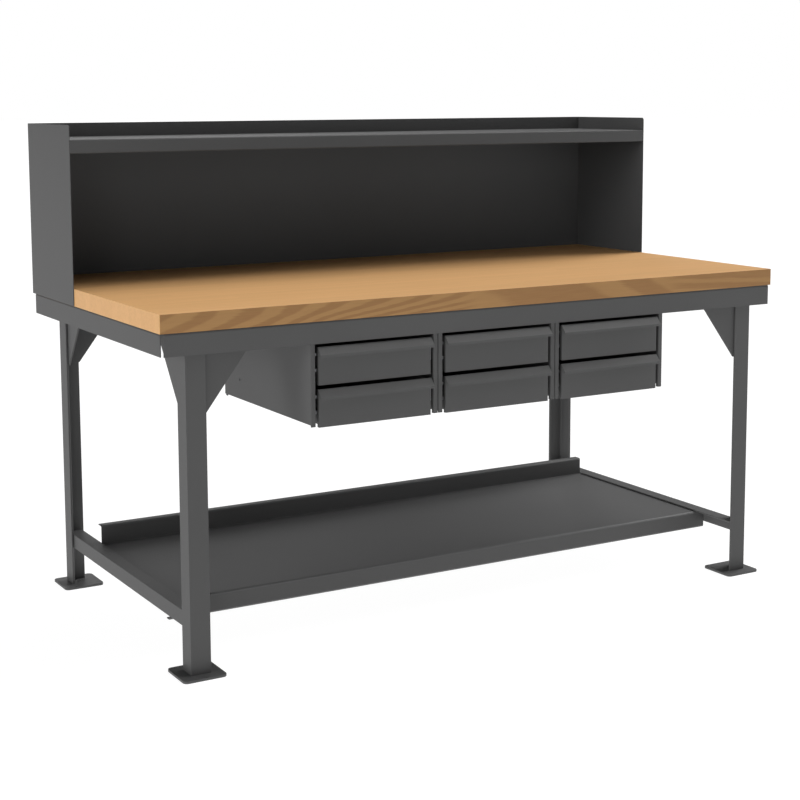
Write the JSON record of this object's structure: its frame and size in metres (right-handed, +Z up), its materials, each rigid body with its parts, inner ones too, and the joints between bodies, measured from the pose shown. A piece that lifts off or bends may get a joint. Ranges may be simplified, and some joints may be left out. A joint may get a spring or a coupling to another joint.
{
  "type": "workbench",
  "caption": "Heavy-duty workbench with a wood top on an angle-iron frame, a lower shelf, a raised back shelf and hung drawer units.",
  "frame": {"origin": "on the floor, at the middle of the bench's overall box, foot plates included", "axes": "+Z up, +X along the length of the top towards the right-hand end, and -Y out of the drawer fronts towards the user"},
  "size_m": [1.8332, 0.9474, 1.2796],
  "materials": {
    "maple_wood": "satin oiled maple",
    "grey_painted_steel": "satin dark grey powder coat",
    "zinc_plated_steel": "zinc plated"
  },
  "bodies": {
    "bench": {"worktop_board": "maple_wood", "top_pan": "grey_painted_steel", "leg_front_left": "grey_painted_steel", "leg_front_right": "grey_painted_steel", "leg_back_left": "grey_painted_steel", "leg_back_right": "grey_painted_steel", "foot_plate_front_left": "grey_painted_steel", "foot_plate_front_right": "grey_painted_steel", "foot_plate_back_left": "grey_painted_steel", "foot_plate_back_right": "grey_painted_steel", "gussets_front_left": "grey_painted_steel", "gussets_front_right": "grey_painted_steel", "gussets_back_left": "grey_painted_steel", "gussets_back_right": "grey_painted_steel", "stretcher_left": "grey_painted_steel", "stretcher_right": "grey_painted_steel", "lower_shelf": "grey_painted_steel", "riser_back": "grey_painted_steel", "riser_shelf": "grey_painted_steel", "riser_side_left": "grey_painted_steel", "riser_side_right": "grey_painted_steel", "unit_shell_left": "grey_painted_steel", "unit_shell_middle": "grey_painted_steel", "unit_shell_right": "grey_painted_steel", "unit_back_left": "grey_painted_steel", "unit_back_middle": "grey_painted_steel", "unit_back_right": "grey_painted_steel", "cabinet_rails_left": "zinc_plated_steel", "cabinet_rails_middle": "zinc_plated_steel", "cabinet_rails_right": "zinc_plated_steel", "worktop_lag_screws": "zinc_plated_steel", "unit_lag_screws": "zinc_plated_steel", "riser_screws": "zinc_plated_steel"},
    "drawer_left_top": {"drawer_tray_left_top": "grey_painted_steel", "drawer_front_left_top": "grey_painted_steel", "drawer_rails_left_top": "zinc_plated_steel"},
    "slide_left_top": {"slide_members_left_top": "zinc_plated_steel"},
    "drawer_left_bottom": {"drawer_tray_left_bottom": "grey_painted_steel", "drawer_front_left_bottom": "grey_painted_steel", "drawer_rails_left_bottom": "zinc_plated_steel"},
    "slide_left_bottom": {"slide_members_left_bottom": "zinc_plated_steel"},
    "drawer_middle_top": {"drawer_tray_middle_top": "grey_painted_steel", "drawer_front_middle_top": "grey_painted_steel", "drawer_rails_middle_top": "zinc_plated_steel"},
    "slide_middle_top": {"slide_members_middle_top": "zinc_plated_steel"},
    "drawer_middle_bottom": {"drawer_tray_middle_bottom": "grey_painted_steel", "drawer_front_middle_bottom": "grey_painted_steel", "drawer_rails_middle_bottom": "zinc_plated_steel"},
    "slide_middle_bottom": {"slide_members_middle_bottom": "zinc_plated_steel"},
    "drawer_right_top": {"drawer_tray_right_top": "grey_painted_steel", "drawer_front_right_top": "grey_painted_steel", "drawer_rails_right_top": "zinc_plated_steel"},
    "slide_right_top": {"slide_members_right_top": "zinc_plated_steel"},
    "drawer_right_bottom": {"drawer_tray_right_bottom": "grey_painted_steel", "drawer_front_right_bottom": "grey_painted_steel", "drawer_rails_right_bottom": "zinc_plated_steel"},
    "slide_right_bottom": {"slide_members_right_bottom": "zinc_plated_steel"}
  },
  "joints": [
    {"name": "drawer_left_top_travel", "type": "slide", "parent": "bench", "child": "drawer_left_top", "axis": [0, -1, 0], "range_m": [0, 0.43]},
    {"name": "slide_left_top_travel", "type": "slide", "parent": "bench", "child": "slide_left_top", "axis": [0, -1, 0], "range_m": [0, 0.215]},
    {"name": "drawer_left_bottom_travel", "type": "slide", "parent": "bench", "child": "drawer_left_bottom", "axis": [0, -1, 0], "range_m": [0, 0.43]},
    {"name": "slide_left_bottom_travel", "type": "slide", "parent": "bench", "child": "slide_left_bottom", "axis": [0, -1, 0], "range_m": [0, 0.215]},
    {"name": "drawer_middle_top_travel", "type": "slide", "parent": "bench", "child": "drawer_middle_top", "axis": [0, -1, 0], "range_m": [0, 0.43]},
    {"name": "slide_middle_top_travel", "type": "slide", "parent": "bench", "child": "slide_middle_top", "axis": [0, -1, 0], "range_m": [0, 0.215]},
    {"name": "drawer_middle_bottom_travel", "type": "slide", "parent": "bench", "child": "drawer_middle_bottom", "axis": [0, -1, 0], "range_m": [0, 0.43]},
    {"name": "slide_middle_bottom_travel", "type": "slide", "parent": "bench", "child": "slide_middle_bottom", "axis": [0, -1, 0], "range_m": [0, 0.215]},
    {"name": "drawer_right_top_travel", "type": "slide", "parent": "bench", "child": "drawer_right_top", "axis": [0, -1, 0], "range_m": [0, 0.43]},
    {"name": "slide_right_top_travel", "type": "slide", "parent": "bench", "child": "slide_right_top", "axis": [0, -1, 0], "range_m": [0, 0.215]},
    {"name": "drawer_right_bottom_travel", "type": "slide", "parent": "bench", "child": "drawer_right_bottom", "axis": [0, -1, 0], "range_m": [0, 0.43]},
    {"name": "slide_right_bottom_travel", "type": "slide", "parent": "bench", "child": "slide_right_bottom", "axis": [0, -1, 0], "range_m": [0, 0.215]}
  ],
  "couplings": [
    {"joint": "slide_left_top_travel", "follows": "drawer_left_top_travel", "ratio": 0.5},
    {"joint": "slide_left_bottom_travel", "follows": "drawer_left_bottom_travel", "ratio": 0.5},
    {"joint": "slide_middle_top_travel", "follows": "drawer_middle_top_travel", "ratio": 0.5},
    {"joint": "slide_middle_bottom_travel", "follows": "drawer_middle_bottom_travel", "ratio": 0.5},
    {"joint": "slide_right_top_travel", "follows": "drawer_right_top_travel", "ratio": 0.5},
    {"joint": "slide_right_bottom_travel", "follows": "drawer_right_bottom_travel", "ratio": 0.5}
  ]
}
